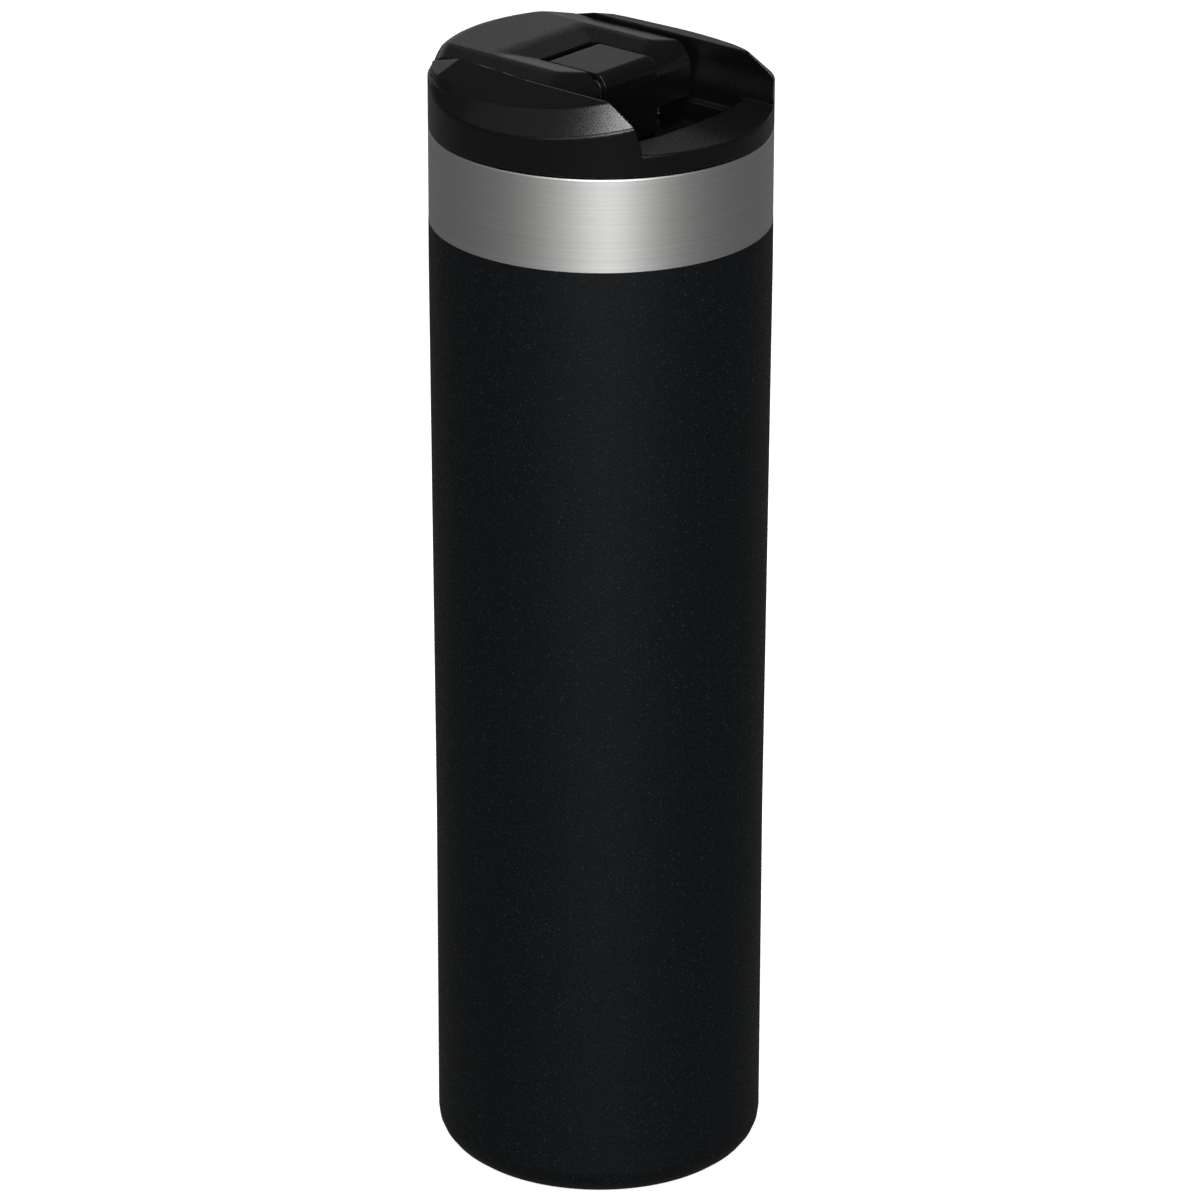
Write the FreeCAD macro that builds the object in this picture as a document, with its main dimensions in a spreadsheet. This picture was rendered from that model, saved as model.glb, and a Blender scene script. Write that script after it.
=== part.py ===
import FreeCAD, Part

import math
import os
import re

import Sketcher

# An insulated travel mug: a double-walled steel bottle with a screw-on lid, whose middle carries a hinged
# drinking flap. +Z is up along the mug's axis, the origin is the centre of the base on the table, and the
# drinking side faces -Y. All sizes are millimetres and come from the sheet "dims".

os.makedirs("parts", exist_ok=True)
doc = FreeCAD.newDocument("travel_mug")
sheet = doc.addObject("Spreadsheet::Sheet", "dims")

DIMENSIONS = {
    # bottle
    "grip_radius": 35.7,
    "shoulder_radius": 36.5,
    "band_radius": 36.45,
    "base_corner": 7,
    "grip_top": 80,
    "shoulder_z": 205,
    "paint_top": 215.4,
    "mouth_top": 235.6,
    "coat": 0.3,
    "steel": 0.4,
    "foot_inner": 24,
    "base_recess": 1.5,
    "bead_radius": 2,
    "cavity_radius": 30.4,
    "cavity_floor": 6.4,
    "cavity_corner": 8,
    "cavity_top": 209,
    "neck_radius": 33.1,
    "neck_start": 215,
    "foil_gap": 0.05,
    "foil_thick": 0.15,
    "getter_radius": 5,
    "getter_place": 12,
    "getter_thick": 1.4,
    # screw thread between the neck and the plug
    "thread_lead": 8,
    "thread_root": 1.6,
    "thread_crest": 0.8,
    "thread_sink": 0.3,
    "thread_start": 219.8,
    "thread_turns": 1.1,
    "thread_phase": -2,
    "plug_thread_radius": 32.7,
    "neck_thread_radius": 31.3,
    # plug
    "plug_radius": 30.9,
    "plug_inner": 28.7,
    "plug_bottom": 217,
    "plug_floor": 219,
    "groove_radius": 30.3,
    "groove_low": 233,
    "groove_high": 235.4,
    "flange_low": 235.9,
    "flange_top": 236.6,
    "flange_radius": 34.2,
    "flange_step": 32.8,
    "gasket_inner": 30.6,
    "gasket_radius": 32.8,
    "gasket_low": 233.2,
    "gasket_high": 235.2,
    "gasket_waist": 32.2,
    "foam_radius": 28.3,
    "foam_top": 230,
    "vent_place": 14,
    "vent_radius": 1.6,
    "vent_cap": 3.2,
    "air_hole": 1.2,
    # drink channel
    "channel_half": 5,
    "channel_front": -5.6,
    "channel_back": -2.2,
    "channel_wall": 1.2,
    "chimney_top": 230.4,
    # lid shell
    "lid_radius": 36.45,
    "lid_bottom": 235.9,
    "lid_inner": 34.4,
    "lid_under": 236.7,
    "crest_top": 251.1,
    "wing_inner": 21.2,
    "facet_angle": 15.6,
    "wing_bevel": 3.9,
    "wing_hollow": 23.4,
    "hollow_top": 242.5,
    "deck_top": 240.8,
    "back_wall": 246.9,
    "back_inner": 34.2,
    "well_front": -24,
    "well_back": 0.8,
    "well_floor": 237.7,
    "pit_half": 19.6,
    "pit_radius": 26.7,
    "pit_floor": 232.8,
    "pit_wall": 1.5,
    # cover between the wings
    "cover_half": 21,
    "cover_radius": 35.6,
    "cover_seat": 33.9,
    "cover_low": 241,
    "cover_step": 247.1,
    "cover_top": 251.2,
    "cover_round": 4,
    "ridge_half": 14.7,
    "ridge_back": 19.5,
    "ridge_drop": 1.2,
    "arm_low": 238.3,
    "arm_toe": -9.5,
    "arm_knee": -7.2,
    "arm_knee_z": 246.5,
    "arm_face": -7,
    "arm_back": 0.6,
    "arm_round": 4.4,
    "slot_half": 8.6,
    "slot_back": 9.75,
    "cover_skin": 2.2,
    # flap
    "flap_half": 8.3,
    "flap_top": 250,
    "flap_back": 8.8,
    "flap_front": -8.3,
    "flap_skin": 1.3,
    "flap_lip": 247.6,
    "flap_foot": 233.6,
    "flap_front_round": 3,
    "flap_back_round": 2,
    "leg_back": -1,
    "leg_low": 234.6,
    "seal_low": 233,
    "seal_half": 7,
    "hinge_y": 5.6,
    "hinge_z": 246.6,
    "pin_radius": 1.25,
    "pin_play": 0.05,
    "pin_half": 11.5,
    "play": 0.1,
    # spring and screws
    "spring_half": 4,
    "spring_low": 241.1,
    "spring_thick": 0.4,
    "spring_rise": 0.8,
    "screw_head": 2.4,
    "screw_head_thick": 1.4,
    "screw_radius": 1.1,
    "screw_reach": 247,
    "screw_x": 17,
    "screw_front": 5,
    "screw_back": 20,
    "beyond": 60,
}
for row, (alias, number) in enumerate(DIMENSIONS.items(), start=1):
    sheet.set(f"A{row}", alias)
    sheet.set(f"B{row}", str(number))
    sheet.setAlias(f"B{row}", alias)
doc.recompute()

nodes = {}


def bound(text):
    """An expression with every dimension's name turned into a reference to the sheet."""
    names = lambda found: "dims." + found.group() if found.group() in DIMENSIONS else found.group()
    return re.sub(r"[a-z_]+", names, str(text))


def number(text):
    return float(sheet.evalExpression(bound(text)))


def bind(thing, **properties):
    """Bind properties to expressions; a double underscore in a name stands for a dot."""
    for name, text in properties.items():
        thing.setExpression(name.replace("__", "."), bound(text))


def node(thing, label):
    thing.Label = label
    nodes[label] = thing
    return thing


# ---- PartDesign bodies -------------------------------------------------------------------------------


def new_body(label):
    return doc.addObject("PartDesign::Body", label)


def origin_feature(body, role):
    return next(f for f in body.Origin.OriginFeatures if f.Role == role)


def outline(body, plane, corners, name="Outline"):
    """A closed outline on one of the body's own planes; each corner is a pair of expressions."""
    sketch = body.newObject("Sketcher::SketchObject", name)
    sketch.AttachmentSupport = [(origin_feature(body, plane), "")]
    sketch.MapMode = "FlatFace"
    points = [FreeCAD.Vector(number(across), number(up), 0) for across, up in corners]
    for i, point in enumerate(points):
        sketch.addGeometry(Part.LineSegment(point, points[(i + 1) % len(points)]), False)
    for i, point in enumerate(points):
        sketch.addConstraint(Sketcher.Constraint("Coincident", i, 2, (i + 1) % len(points), 1))
        for kind, at, text in (("DistanceX", point.x, corners[i][0]), ("DistanceY", point.y, corners[i][1])):
            place = sketch.addConstraint(Sketcher.Constraint(kind, -1, 1, i, 1, at))
            sketch.setExpression(f"Constraints[{place}]", bound(text))
    return sketch


def turned(label, corners):
    """A solid of revolution about Z from an outline of (radius, height) corners."""
    body = new_body(label)
    sketch = outline(body, "XZ_Plane", corners)
    turn = body.newObject("PartDesign::Revolution", "Turn")
    turn.Profile = sketch
    turn.ReferenceAxis = (origin_feature(body, "Z_Axis"), [""])
    turn.Angle = 360
    return body


def extruded(label, corners, half_width):
    """A solid from an outline of (y, height) corners, extruded to both sides of the middle plane."""
    body = new_body(label)
    sketch = outline(body, "YZ_Plane", corners)
    pad = body.newObject("PartDesign::Pad", "Width")
    pad.Profile = sketch
    pad.Midplane = True
    bind(pad, Length=f"2 * ({half_width})")
    return body


def pocketed(body, plane, corners):
    """Cut an outline through the whole body, to both sides of its plane."""
    doc.recompute()
    before = body.Shape.Volume
    sketch = outline(body, plane, corners, "Cutout")
    pocket = body.newObject("PartDesign::Pocket", "Cut")
    pocket.Profile = sketch
    pocket.Type = "ThroughAll"
    pocket.Midplane = True
    doc.recompute()
    assert body.Shape.Volume < before - 0.01, body.Label
    return body


def dressed(body, kind, size, wanted):
    """Fillet or chamfer the edges of the body's tip that the test picks."""
    doc.recompute()
    edges = body.Shape.Edges
    names = [f"Edge{i}" for i, edge in enumerate(edges, start=1) if wanted(edge)]
    assert names, (body.Label, kind)
    dress = body.newObject(f"PartDesign::{kind}", kind)
    dress.Base = (dress.BaseFeature or body.Tip, names)
    bind(dress, **{"Radius" if kind == "Fillet" else "Size": size})
    doc.recompute()
    return body


def ring_edge(radius, height):
    """Picks the full circular edge of this radius at this height."""
    far, up = number(radius), number(height)

    def wanted(edge):
        box = edge.BoundBox
        return abs(box.ZMin - up) < 0.01 and abs(box.ZMax - up) < 0.01 and abs(box.XMax - far) < 0.01

    return wanted


def cross_edge(across, height):
    """Picks the straight edge along X at this (y, z)."""
    y, z = number(across), number(height)

    def wanted(edge):
        middle = edge.CenterOfMass
        return abs(middle.y - y) < 0.01 and abs(middle.z - z) < 0.01 and edge.BoundBox.YLength < 0.01

    return wanted


# ---- primitives and booleans ---------------------------------------------------------------------------


def block(label, across, along, up):
    """A box from three pairs of expressions: its limits along X, Y and Z."""
    box = doc.addObject("Part::Box", label)
    sizes = [f"({high}) - ({low})" for low, high in (across, along, up)]
    bind(box, Length=sizes[0], Width=sizes[1], Height=sizes[2])
    bind(box, Placement__Base__x=across[0], Placement__Base__y=along[0], Placement__Base__z=up[0])
    return box


def centred(label, half, along, up):
    return block(label, (f"-({half})", half), along, up)


def drum(label, radius, up, place=("0", "0")):
    """An upright cylinder."""
    cylinder = doc.addObject("Part::Cylinder", label)
    bind(cylinder, Radius=radius, Height=f"({up[1]}) - ({up[0]})")
    bind(cylinder, Placement__Base__x=place[0], Placement__Base__y=place[1], Placement__Base__z=up[0])
    return cylinder


def hinge_rod(label, radius, half):
    """A cylinder along the flap's hinge line."""
    cylinder = doc.addObject("Part::Cylinder", label)
    cylinder.Placement = FreeCAD.Placement(FreeCAD.Vector(), FreeCAD.Rotation(FreeCAD.Vector(0, 1, 0), 90))
    bind(cylinder, Radius=radius, Height=f"2 * ({half})")
    bind(cylinder, Placement__Base__x=f"-({half})", Placement__Base__y="hinge_y", Placement__Base__z="hinge_z")
    return cylinder


def joined(label, things):
    fuse = doc.addObject("Part::MultiFuse", label)
    fuse.Shapes = things
    return fuse


def shared(label, things):
    common = doc.addObject("Part::MultiCommon", label)
    common.Shapes = things
    return common


def cut(label, base, tools):
    difference = doc.addObject("Part::Cut", label)
    difference.Base = base
    difference.Tool = tools[0] if len(tools) == 1 else joined(label + "_tools", tools)
    return difference


def thread_ridges(label, wall, crest, phase):
    """The two starts of a screw thread, each a trapezoid swept along a helix from wall to crest radius."""
    lead = number("thread_lead")
    height = lead * number("thread_turns")
    inward = math.copysign(number("thread_sink"), wall - crest)
    root, tip = number("thread_root") / 2, number("thread_crest") / 2
    corners = [(wall + inward, -root), (crest, -tip), (crest, tip), (wall + inward, root)]
    ridges = []
    for start in range(2):
        points = [FreeCAD.Vector(radius, 0, up) for radius, up in corners]
        profile = Part.makePolygon(points + points[:1])
        path = Part.Wire(Part.makeHelix(lead, height, wall).Edges)
        ridge = path.makePipeShell([profile], True, True)
        ridge.translate(FreeCAD.Vector(0, 0, number("thread_start") + phase + start * lead / 2))
        ridges.append(ridge)
    thing = doc.addObject("Part::Feature", label)
    thing.Shape = Part.makeCompound(ridges)
    return thing


# ---- bottle ----------------------------------------------------------------------------------------------


def make_powder_coat():
    body = turned("powder_coat", [
        ("foot_inner", "0"), ("grip_radius", "0"), ("grip_radius", "grip_top"),
        ("shoulder_radius", "shoulder_z"), ("shoulder_radius", "paint_top"),
        ("shoulder_radius - coat", "paint_top"), ("shoulder_radius - coat", "shoulder_z"),
        ("grip_radius - coat", "grip_top"), ("grip_radius - coat", "coat"), ("foot_inner", "coat"),
    ])
    dressed(body, "Fillet", "base_corner", ring_edge("grip_radius", "0"))
    dressed(body, "Fillet", "base_corner - coat", ring_edge("grip_radius - coat", "coat"))
    node(body, "powder_coat")


def make_outer_shell():
    body = turned("outer_shell", [
        ("foot_inner", "coat"), ("grip_radius - coat", "coat"), ("grip_radius - coat", "grip_top"),
        ("shoulder_radius - coat", "shoulder_z"), ("shoulder_radius - coat", "paint_top"),
        ("band_radius", "paint_top"), ("band_radius", "mouth_top"), ("band_radius - steel", "mouth_top"),
        ("band_radius - steel", "paint_top - 2 * steel"),
        ("shoulder_radius - coat - steel", "paint_top - 3 * steel"),
        ("shoulder_radius - coat - steel", "shoulder_z"), ("grip_radius - coat - steel", "grip_top"),
        ("grip_radius - coat - steel", "coat + steel"), ("foot_inner", "coat + steel"),
    ])
    dressed(body, "Fillet", "base_corner - coat", ring_edge("grip_radius - coat", "coat"))
    dressed(body, "Fillet", "base_corner - coat - steel",
            ring_edge("grip_radius - coat - steel", "coat + steel"))
    node(body, "outer_shell")


def make_base_parts():
    cup = turned("base_cup", [
        ("bead_radius", "base_recess"), ("foot_inner - steel", "base_recess"),
        ("foot_inner - steel", "coat"), ("foot_inner", "coat"),
        ("foot_inner", "base_recess + steel"), ("bead_radius", "base_recess + steel"),
    ])
    node(cup, "base_cup")
    bead = drum("vacuum_seal_bead", "bead_radius", ("base_recess + 0.1", "base_recess + steel + 0.6"))
    node(bead, "vacuum_seal_bead")
    top = "base_recess + steel"
    getter = drum("getter", "getter_radius", (top, f"{top} + getter_thick"), ("getter_place", "0"))
    node(getter, "getter")


def make_inner_vessel():
    wall = "cavity_radius + steel"
    vessel = turned("vessel_wall", [
        ("0", "cavity_floor - steel"), (wall, "cavity_floor - steel"), (wall, "cavity_top"),
        ("neck_radius + steel", "neck_start"), ("neck_radius + steel", "mouth_top - steel"),
        ("band_radius - steel", "mouth_top - steel"), ("band_radius - steel", "mouth_top"),
        ("neck_radius", "mouth_top"), ("neck_radius", "neck_start"), ("cavity_radius", "cavity_top"),
        ("cavity_radius", "cavity_floor"), ("0", "cavity_floor"),
    ])
    dressed(vessel, "Fillet", "cavity_corner + steel", ring_edge(wall, "cavity_floor - steel"))
    dressed(vessel, "Fillet", "cavity_corner", ring_edge("cavity_radius", "cavity_floor"))
    ridges = thread_ridges("neck_ridges", number("neck_radius"), number("neck_thread_radius"),
                           number("thread_phase"))
    node(joined("inner_vessel", [vessel, ridges]), "inner_vessel")

    near = "cavity_radius + steel + foil_gap"
    foil = turned("reflector_foil", [
        (near, "cavity_floor + cavity_corner"), (f"{near} + foil_thick", "cavity_floor + cavity_corner"),
        (f"{near} + foil_thick", "cavity_top - 2"), (near, "cavity_top - 2"),
    ])
    node(foil, "reflector_foil")


# ---- lid base --------------------------------------------------------------------------------------------


def make_gasket():
    middle = "(gasket_low + gasket_high) / 2"
    body = turned("lid_gasket", [
        ("gasket_inner", "gasket_low"), ("gasket_radius", "gasket_low"),
        ("gasket_radius", "gasket_low + 0.6"), ("gasket_waist", middle),
        ("gasket_radius", "gasket_high - 0.6"), ("gasket_radius", "gasket_high"),
        ("gasket_inner", "gasket_high"),
    ])
    node(body, "lid_gasket")


def channel(label, grow, up):
    """The drink channel's cross-section, grown outward by a wall, over a range of heights."""
    return centred(label, f"channel_half + {grow}",
                   (f"channel_front - ({grow})", f"channel_back + {grow}"), up)


def make_plug():
    cup = turned("plug_cup", [
        ("0", "plug_bottom"), ("plug_radius", "plug_bottom"), ("plug_radius", "groove_low"),
        ("groove_radius", "groove_low"), ("groove_radius", "groove_high"), ("flange_step", "groove_high"),
        ("flange_step", "flange_low"), ("flange_radius", "flange_low"), ("flange_radius", "flange_top"),
        ("plug_inner", "flange_top"), ("plug_inner", "plug_floor"), ("0", "plug_floor"),
    ])
    chimney = channel("chimney", "channel_wall", ("plug_bottom", "chimney_top"))
    ridges = thread_ridges("plug_ridges", number("plug_radius"), number("plug_thread_radius"), 0)
    solid = joined("plug_solid", [cup, chimney, ridges])
    passage = channel("passage", "0", ("plug_bottom - 1", "chimney_top + 1"))
    vent = drum("plug_vent", "vent_radius", ("plug_bottom - 1", "plug_floor + 1"), ("0", "vent_place"))
    node(cut("lid_plug", solid, [passage, vent]), "lid_plug")

    foam = drum("foam_disc", "foam_radius", ("plug_floor + play", "foam_top"))
    around = channel("foam_channel", "channel_wall + play", ("plug_floor - 1", "foam_top + 1"))
    over = drum("foam_vent", "vent_cap + play", ("plug_floor - 1", "foam_top + 1"), ("0", "vent_place"))
    node(cut("lid_insulation", foam, [around, over]), "lid_insulation")

    stem = drum("valve_stem", "vent_radius - play", ("plug_bottom - 0.6", "plug_floor + 0.2"),
                ("0", "vent_place"))
    cap = drum("valve_cap", "vent_cap", ("plug_floor", "plug_floor + 1.2"), ("0", "vent_place"))
    node(joined("vent_valve", [stem, cap]), "vent_valve")

    ring = channel("seal_ring_outer", "channel_wall", ("chimney_top", "pit_floor - pit_wall"))
    bore = channel("seal_ring_bore", "0", ("chimney_top - 1", "pit_floor"))
    node(cut("channel_seal", ring, [bore]), "channel_seal")


# ---- lid shell -------------------------------------------------------------------------------------------


def make_lid_shell():
    blank = turned("lid_blank", [
        ("0", "lid_bottom"), ("lid_radius", "lid_bottom"), ("lid_radius", "crest_top"),
        ("0", "crest_top"),
    ])
    for side in (-1, 1):
        reach = "(beyond - wing_inner)"
        pocketed(blank, "XZ_Plane", [
            (f"{side} * wing_inner", "crest_top"),
            (f"{side} * beyond", f"crest_top - {reach} * tan(facet_angle * 1deg)"),
            (f"{side} * beyond", "crest_top + 1"),
            (f"{side} * wing_inner", "crest_top + 1"),
        ])
    rim = number("lid_radius")

    def roof_rim(edge):
        ends = [vertex.Point for vertex in edge.Vertexes]
        on_wall = all(abs(math.hypot(point.x, point.y) - rim) < 0.01 for point in ends)
        curved = edge.Curve.TypeId != "Part::GeomLine"
        return on_wall and curved and edge.BoundBox.ZMin > number("deck_top")

    dressed(blank, "Chamfer", "wing_bevel", roof_rim)

    up = "beyond * 5"
    hanger = shared("pit_block", [
        centred("pit_block_box", "pit_half + pit_wall", ("-beyond", "well_back + pit_wall"),
                ("pit_floor - pit_wall", "deck_top")),
        drum("pit_block_drum", "pit_radius + pit_wall", ("pit_floor - pit_wall", "deck_top")),
    ])
    under = drum("under_cavity", "lid_inner", ("lid_bottom - 1", "lid_under"))
    hollows = [
        shared(f"wing_hollow_{name}", [
            drum(f"hollow_drum_{name}", "lid_inner", ("lid_bottom - 1", "hollow_top")),
            block(f"hollow_box_{name}", span, ("-beyond", "beyond"), ("lid_bottom - 1", "hollow_top")),
        ])
        for name, span in (("left", ("-beyond", "-wing_hollow")), ("right", ("wing_hollow", "beyond")))
    ]
    housing = joined("lid_housing", [cut("lid_hollowed", blank, [under] + hollows), hanger])
    gaps = [
        centred("front_gap", "wing_inner", ("-beyond", "well_back"), ("deck_top", up)),
        shared("back_gap", [
            centred("back_gap_box", "wing_inner", ("0", "beyond"), ("deck_top", up)),
            drum("back_gap_drum", "back_inner", ("deck_top", up)),
        ]),
        centred("back_step", "wing_inner", ("0", "beyond"), ("back_wall", up)),
        centred("upper_well", "wing_inner", ("well_front", "well_back"), ("well_floor", up)),
        shared("pit", [
            centred("pit_box", "pit_half", ("well_front", "well_back"), ("pit_floor", up)),
            drum("pit_drum", "pit_radius", ("pit_floor", up)),
        ]),
        channel("drink_hole", "0", ("pit_floor - pit_wall - 1", "pit_floor + 1")),
        drum("air_vent", "air_hole", ("lid_bottom", "deck_top + 1"), ("0", "vent_place")),
    ]
    node(cut("lid_shell", housing, gaps + screw_holes("shell", "lid_bottom", "deck_top + 1")), "lid_shell")


def screw_places():
    return [(f"{side} * screw_x", along) for side in (-1, 1) for along in ("screw_front", "screw_back")]


def screw_holes(where, low, high):
    return [drum(f"screw_hole_{where}_{i}", "screw_radius", (low, high), place)
            for i, place in enumerate(screw_places())]


def make_screws():
    screws = []
    for i, place in enumerate(screw_places()):
        head = drum(f"screw_head_{i}", "screw_head", ("lid_under - screw_head_thick", "lid_under"), place)
        shank = drum(f"screw_shank_{i}", "screw_radius", ("lid_under - 1", "screw_reach"), place)
        screws.append(joined(f"screw_{i}", [head, shank]))
    group = doc.addObject("Part::Compound", "lid_screws")
    group.Links = screws
    node(group, "lid_screws")


def make_top_cover():
    cap = turned("cover_cap", [
        ("0", "arm_low"), ("cover_seat", "arm_low"), ("cover_seat", "cover_step"),
        ("cover_radius", "cover_step"), ("cover_radius", "cover_top"), ("0", "cover_top"),
    ])
    dressed(cap, "Fillet", "cover_round", ring_edge("cover_radius", "cover_top"))
    slope = "(beyond - ridge_half) * tan(10.5deg)"
    for side in (-1, 1):
        pocketed(cap, "XZ_Plane", [
            (f"{side} * ridge_half", "cover_top"), (f"{side} * beyond", f"cover_top - {slope}"),
            (f"{side} * beyond", "cover_top + 1"), (f"{side} * ridge_half", "cover_top + 1"),
        ])
    arms = extruded("cover_side", [
        ("arm_toe", "arm_low"), ("arm_knee", "arm_knee_z"), ("arm_face", "cover_top"),
        ("beyond", "cover_top"), ("beyond", "cover_low"), ("arm_back", "cover_low"),
        ("arm_back", "arm_low"),
    ], "cover_half")
    dressed(arms, "Fillet", "arm_round", cross_edge("arm_face", "cover_top"))

    dish = new_body("cover_dish")
    dish_low, dish_high = "cover_top - ridge_drop", "cover_top + ridge_drop"
    floors = []
    for height, steps in ((dish_low, 0), (dish_high, 2)):
        half = f"slot_half + {steps} * (ridge_half - slot_half)"
        back = f"slot_back + {steps} * (ridge_back - slot_back)"
        corners = [(f"-({half})", "-beyond"), (half, "-beyond"), (half, back), (f"-({half})", back)]
        sketch = outline(dish, "XY_Plane", corners, f"Level{steps}")
        bind(sketch, AttachmentOffset__Base__z=height)
        floors.append(sketch)
    loft = dish.newObject("PartDesign::AdditiveLoft", "Dish")
    loft.Profile = floors[0]
    loft.Sections = floors[1:]
    loft.Ruled = True

    slot = centred("flap_slot", "slot_half", ("-beyond", "slot_back"), ("arm_low - 1", "cover_top + 1"))
    cave = shared("cover_cave", [
        centred("cave_box", "cover_half - cover_skin", ("slot_back + cover_skin", "beyond"),
                ("arm_low", "cover_top - 2 * cover_skin")),
        drum("cave_drum", "cover_seat - cover_skin", ("arm_low", "cover_top - 2 * cover_skin")),
    ])
    posts = [drum(f"screw_post_{i}", "screw_radius + 1.4", ("cover_low", "cover_top - 1.5 * cover_skin"),
                  place) for i, place in enumerate(screw_places()) if place[1] == "screw_back"]
    rough = shared("cover_rough", [cap, arms])
    carved = cut("cover_carved", rough, [dish, slot, cave])
    body = joined("cover_posted", [carved] + posts)
    tools = [hinge_rod("cover_pin_hole", "pin_radius", "pin_half")]
    tools += screw_holes("cover", "arm_low", "screw_reach")
    node(cut("top_cover", body, tools), "top_cover")


# ---- flap ------------------------------------------------------------------------------------------------


def make_flap():
    skin = extruded("flap_cover", [
        ("flap_back", "flap_lip"), ("flap_back", "flap_top"), ("flap_front", "flap_top"),
        ("flap_front", "flap_foot"), ("flap_front + flap_skin", "flap_foot"),
        ("flap_front + flap_skin", "flap_top - flap_skin"),
        ("flap_back - flap_skin", "flap_top - flap_skin"), ("flap_back - flap_skin", "flap_lip"),
    ], "flap_half")
    dressed(skin, "Fillet", "flap_front_round", cross_edge("flap_front", "flap_top"))
    dressed(skin, "Fillet", "flap_back_round", cross_edge("flap_back", "flap_top"))
    inside = "flap_front_round - flap_skin"
    dressed(skin, "Fillet", inside, cross_edge("flap_front + flap_skin", "flap_top - flap_skin"))
    node(skin, "flap_cover")

    front = "flap_front + flap_skin + play"
    top = "flap_top - flap_skin - play"
    back = "flap_back - flap_skin - play"
    carrier = extruded("carrier_block", [
        (front, "leg_low"), (front, f"{top} - {inside}"), (f"{front} + {inside}", top), (back, top),
        (back, "hinge_z - 0.6"), ("hinge_y", "hinge_z - 3"), ("hinge_y - 2.6", "hinge_z - 2.6"),
        ("leg_back + 0.5", "hinge_z - 2.1"), ("leg_back", "leg_low"),
    ], "flap_half")
    bore = hinge_rod("carrier_bore", "pin_radius + pin_play", "flap_half + 1")
    node(cut("flap_carrier", carrier, [bore]), "flap_carrier")

    seal = extruded("flap_seal", [
        (f"{front} + play", "seal_low + 0.6"), (f"{front} + 0.7", "seal_low"),
        ("leg_back - 0.7", "seal_low"), ("leg_back - play", "seal_low + 0.6"),
        ("leg_back - play", "leg_low"), (f"{front} + play", "leg_low"),
    ], "seal_half")
    node(seal, "flap_seal")
    node(hinge_rod("hinge_pin", "pin_radius", "pin_half"), "hinge_pin")


def make_spring():
    high = "spring_low + spring_thick"
    spring = extruded("detent_spring", [
        ("hinge_y - 3.2", "spring_low"), ("hinge_y - 1.4", "spring_low"),
        ("hinge_y", "spring_low + spring_rise"), ("hinge_y + 1.4", "spring_low"),
        ("hinge_y + 3.4", "spring_low"), ("hinge_y + 3.4", high), ("hinge_y + 1.2", high),
        ("hinge_y", f"{high} + spring_rise"), ("hinge_y - 1.2", high), ("hinge_y - 3.2", high),
    ], "spring_half")
    node(spring, "detent_spring")


make_powder_coat()
make_outer_shell()
make_base_parts()
make_inner_vessel()
make_gasket()
make_plug()
make_lid_shell()
make_screws()
make_top_cover()
make_flap()
make_spring()
doc.recompute()

for thing in doc.Objects:
    assert not {"Invalid", "Error"} & set(thing.State), (thing.Label, thing.State)
for label, thing in nodes.items():
    shape = thing.Shape
    assert not shape.isNull() and shape.isValid(), label
    print(label, len(shape.Solids), "solids", round(shape.Volume / 1000, 3), "cm3")
for label, thing in nodes.items():
    thing.Shape.exportStep(f"parts/{label}.step")
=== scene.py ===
import math

import bpy
import numpy as np
from mathutils import Matrix, Vector


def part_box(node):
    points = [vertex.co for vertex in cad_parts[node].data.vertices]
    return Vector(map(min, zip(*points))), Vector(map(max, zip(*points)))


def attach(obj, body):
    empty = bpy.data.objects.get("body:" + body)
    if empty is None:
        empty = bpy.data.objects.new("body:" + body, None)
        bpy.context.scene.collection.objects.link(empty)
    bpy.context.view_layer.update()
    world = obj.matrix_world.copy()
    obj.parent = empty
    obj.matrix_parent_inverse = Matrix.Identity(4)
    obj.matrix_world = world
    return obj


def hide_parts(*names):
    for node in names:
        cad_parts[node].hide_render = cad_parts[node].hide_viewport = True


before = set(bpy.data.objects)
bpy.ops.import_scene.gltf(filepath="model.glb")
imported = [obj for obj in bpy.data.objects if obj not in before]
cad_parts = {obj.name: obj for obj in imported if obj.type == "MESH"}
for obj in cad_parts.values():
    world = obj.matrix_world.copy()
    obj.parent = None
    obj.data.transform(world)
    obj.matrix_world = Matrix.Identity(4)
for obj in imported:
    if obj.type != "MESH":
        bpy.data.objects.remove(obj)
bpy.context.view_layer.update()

# The looks of an insulated travel mug. Shapes are worked out in millimetres, in the CAD model's own frame
# (+Z up the mug's axis, -Y the drinking side), and turned into metres when a mesh is made.

MM = 0.001
TURN = 2 * math.pi


def levels(node):
    """A CAD node's box in millimetres: (lowest corner, highest corner)."""
    low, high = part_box(node)
    return np.array(low) / MM, np.array(high) / MM


COAT_HIGH = levels("powder_coat")[1]
SHELL_HIGH = levels("outer_shell")[1]
LID_LOW, LID_HIGH = levels("lid_shell")
COVER_LOW, COVER_HIGH = levels("top_cover")
PLUG_LOW, PLUG_HIGH = levels("lid_plug")
RING_LOW, RING_HIGH = levels("lid_gasket")
FLAP_LOW, FLAP_HIGH = levels("flap_cover")
LEG_LOW, LEG_HIGH = levels("flap_carrier")
SEAL_LOW, SEAL_HIGH = levels("flap_seal")
PIN_LOW, PIN_HIGH = levels("hinge_pin")

# The bottle. The heights and radii that the CAD boxes give are read from them.
BODY_R = COAT_HIGH[0]
BAND_R = SHELL_HIGH[0]
PAINT_TOP = COAT_HIGH[2]
MOUTH = SHELL_HIGH[2]
GRIP_R = 35.7
GRIP_TOP = 80.0
TAPER_TOP = 205.0
TAPER_ROUND = 60.0
COAT = 0.3
STEEL = 0.4
FOOT_R = 24.0
FOOT_ROUND = 7.0
DISC_UNDER = 1.5
NECK_R = 33.1
NECK_LOW = 215.0
CAVITY_R = 30.4
CAVITY_TOP = 209.0
INNER_UNDER = 6.0

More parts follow.
